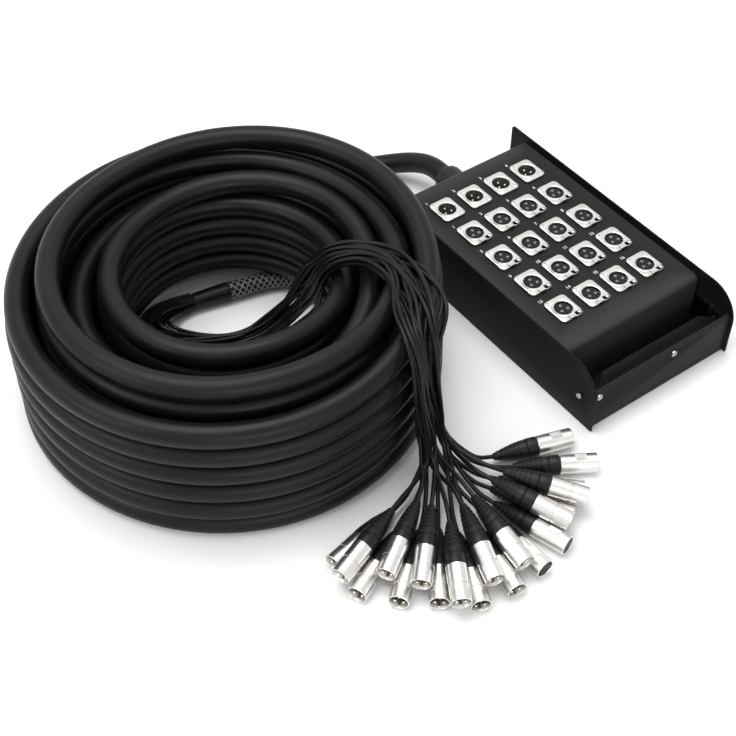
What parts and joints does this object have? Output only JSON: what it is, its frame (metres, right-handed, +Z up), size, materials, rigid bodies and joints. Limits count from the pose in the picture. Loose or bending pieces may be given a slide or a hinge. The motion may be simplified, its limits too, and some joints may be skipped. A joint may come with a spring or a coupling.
{
  "type": "stage box snake",
  "caption": "Low steel connector box with a carrying grip, a thick multicore cable wound into a tall coil, and a fan-out of thin tails ending in cable plugs.",
  "frame": {"origin": "middle of the box's footprint, on the ground", "axes": "+X to the right along a row of connectors, +Y towards the end where the multicore cable leaves the box, +Z up"},
  "size_m": [0.6108, 0.5776, 0.1726],
  "materials": {
    "powder_coat": "fine textured black powder coat",
    "panel_coat": "fine textured dark powder coat",
    "nickel": "satin nickel plated die casting",
    "latch_metal": "plain stamped steel",
    "screw_steel": "zinc plated",
    "gland_plastic": "black moulded nylon",
    "cable_rubber": "matt black cable jacket",
    "braid": "open braided plastic sleeving",
    "tail_rubber": "matt black thin cable jacket"
  },
  "bodies": {
    "snake": {"base_pan": "powder_coat", "top_panel": "panel_coat", "left_cheek": "powder_coat", "right_cheek": "powder_coat", "front_screw_left": "screw_steel", "front_screw_middle": "screw_steel", "side_screw_left": "screw_steel", "side_screw_right": "screw_steel", "cable_gland": "gland_plastic", "gland_nut": "gland_plastic", "return_socket_1": "nickel", "return_socket_2": "nickel", "return_socket_3": "nickel", "return_socket_4": "nickel", "send_socket_1": "nickel", "send_socket_2": "nickel", "send_socket_3": "nickel", "send_socket_4": "nickel", "send_socket_5": "nickel", "send_socket_6": "nickel", "send_socket_7": "nickel", "send_socket_8": "nickel", "send_socket_9": "nickel", "send_socket_10": "nickel", "send_socket_11": "nickel", "send_socket_12": "nickel", "send_socket_13": "nickel", "send_socket_14": "nickel", "send_socket_15": "nickel", "send_socket_16": "nickel", "multicore_lead": "cable_rubber", "multicore_coil": "cable_rubber", "breakout_sleeve": "braid", "fanout_tails": "tail_rubber", "return_plug_1": "nickel", "return_plug_2": "nickel", "return_plug_3": "nickel", "return_plug_4": "nickel"},
    "send_latch_1_body": {"send_latch_1": "latch_metal"},
    "send_latch_2_body": {"send_latch_2": "latch_metal"},
    "send_latch_3_body": {"send_latch_3": "latch_metal"},
    "send_latch_4_body": {"send_latch_4": "latch_metal"},
    "send_latch_5_body": {"send_latch_5": "latch_metal"},
    "send_latch_6_body": {"send_latch_6": "latch_metal"},
    "send_latch_7_body": {"send_latch_7": "latch_metal"},
    "send_latch_8_body": {"send_latch_8": "latch_metal"},
    "send_latch_9_body": {"send_latch_9": "latch_metal"},
    "send_latch_10_body": {"send_latch_10": "latch_metal"},
    "send_latch_11_body": {"send_latch_11": "latch_metal"},
    "send_latch_12_body": {"send_latch_12": "latch_metal"},
    "send_latch_13_body": {"send_latch_13": "latch_metal"},
    "send_latch_14_body": {"send_latch_14": "latch_metal"},
    "send_latch_15_body": {"send_latch_15": "latch_metal"},
    "send_latch_16_body": {"send_latch_16": "latch_metal"},
    "return_plug_latch_1_body": {"return_plug_latch_1": "latch_metal"},
    "return_plug_latch_2_body": {"return_plug_latch_2": "latch_metal"},
    "return_plug_latch_3_body": {"return_plug_latch_3": "latch_metal"},
    "return_plug_latch_4_body": {"return_plug_latch_4": "latch_metal"}
  },
  "joints": [
    {"name": "send_latch_1_press", "type": "slide", "parent": "snake", "child": "send_latch_1_body", "axis": [0, 0, -1], "range_m": [0, 0.0011], "stiffness_N_per_m": 150},
    {"name": "send_latch_2_press", "type": "slide", "parent": "snake", "child": "send_latch_2_body", "axis": [0, 0, -1], "range_m": [0, 0.0011], "stiffness_N_per_m": 150},
    {"name": "send_latch_3_press", "type": "slide", "parent": "snake", "child": "send_latch_3_body", "axis": [0, 0, -1], "range_m": [0, 0.0011], "stiffness_N_per_m": 150},
    {"name": "send_latch_4_press", "type": "slide", "parent": "snake", "child": "send_latch_4_body", "axis": [0, 0, -1], "range_m": [0, 0.0011], "stiffness_N_per_m": 150},
    {"name": "send_latch_5_press", "type": "slide", "parent": "snake", "child": "send_latch_5_body", "axis": [0, 0, -1], "range_m": [0, 0.0011], "stiffness_N_per_m": 150},
    {"name": "send_latch_6_press", "type": "slide", "parent": "snake", "child": "send_latch_6_body", "axis": [0, 0, -1], "range_m": [0, 0.0011], "stiffness_N_per_m": 150},
    {"name": "send_latch_7_press", "type": "slide", "parent": "snake", "child": "send_latch_7_body", "axis": [0, 0, -1], "range_m": [0, 0.0011], "stiffness_N_per_m": 150},
    {"name": "send_latch_8_press", "type": "slide", "parent": "snake", "child": "send_latch_8_body", "axis": [0, 0, -1], "range_m": [0, 0.0011], "stiffness_N_per_m": 150},
    {"name": "send_latch_9_press", "type": "slide", "parent": "snake", "child": "send_latch_9_body", "axis": [0, 0, -1], "range_m": [0, 0.0011], "stiffness_N_per_m": 150},
    {"name": "send_latch_10_press", "type": "slide", "parent": "snake", "child": "send_latch_10_body", "axis": [0, 0, -1], "range_m": [0, 0.0011], "stiffness_N_per_m": 150},
    {"name": "send_latch_11_press", "type": "slide", "parent": "snake", "child": "send_latch_11_body", "axis": [0, 0, -1], "range_m": [0, 0.0011], "stiffness_N_per_m": 150},
    {"name": "send_latch_12_press", "type": "slide", "parent": "snake", "child": "send_latch_12_body", "axis": [0, 0, -1], "range_m": [0, 0.0011], "stiffness_N_per_m": 150},
    {"name": "send_latch_13_press", "type": "slide", "parent": "snake", "child": "send_latch_13_body", "axis": [0, 0, -1], "range_m": [0, 0.0011], "stiffness_N_per_m": 150},
    {"name": "send_latch_14_press", "type": "slide", "parent": "snake", "child": "send_latch_14_body", "axis": [0, 0, -1], "range_m": [0, 0.0011], "stiffness_N_per_m": 150},
    {"name": "send_latch_15_press", "type": "slide", "parent": "snake", "child": "send_latch_15_body", "axis": [0, 0, -1], "range_m": [0, 0.0011], "stiffness_N_per_m": 150},
    {"name": "send_latch_16_press", "type": "slide", "parent": "snake", "child": "send_latch_16_body", "axis": [0, 0, -1], "range_m": [0, 0.0011], "stiffness_N_per_m": 150},
    {"name": "return_plug_latch_1_press", "type": "slide", "parent": "snake", "child": "return_plug_latch_1_body", "axis": [0, 0, -1], "range_m": [0, 0.0012], "stiffness_N_per_m": 150},
    {"name": "return_plug_latch_2_press", "type": "slide", "parent": "snake", "child": "return_plug_latch_2_body", "axis": [0, 0, -1], "range_m": [0, 0.0012], "stiffness_N_per_m": 150},
    {"name": "return_plug_latch_3_press", "type": "slide", "parent": "snake", "child": "return_plug_latch_3_body", "axis": [0, 0, -1], "range_m": [0, 0.0012], "stiffness_N_per_m": 150},
    {"name": "return_plug_latch_4_press", "type": "slide", "parent": "snake", "child": "return_plug_latch_4_body", "axis": [0, 0, -1], "range_m": [0, 0.0012], "stiffness_N_per_m": 150}
  ]
}
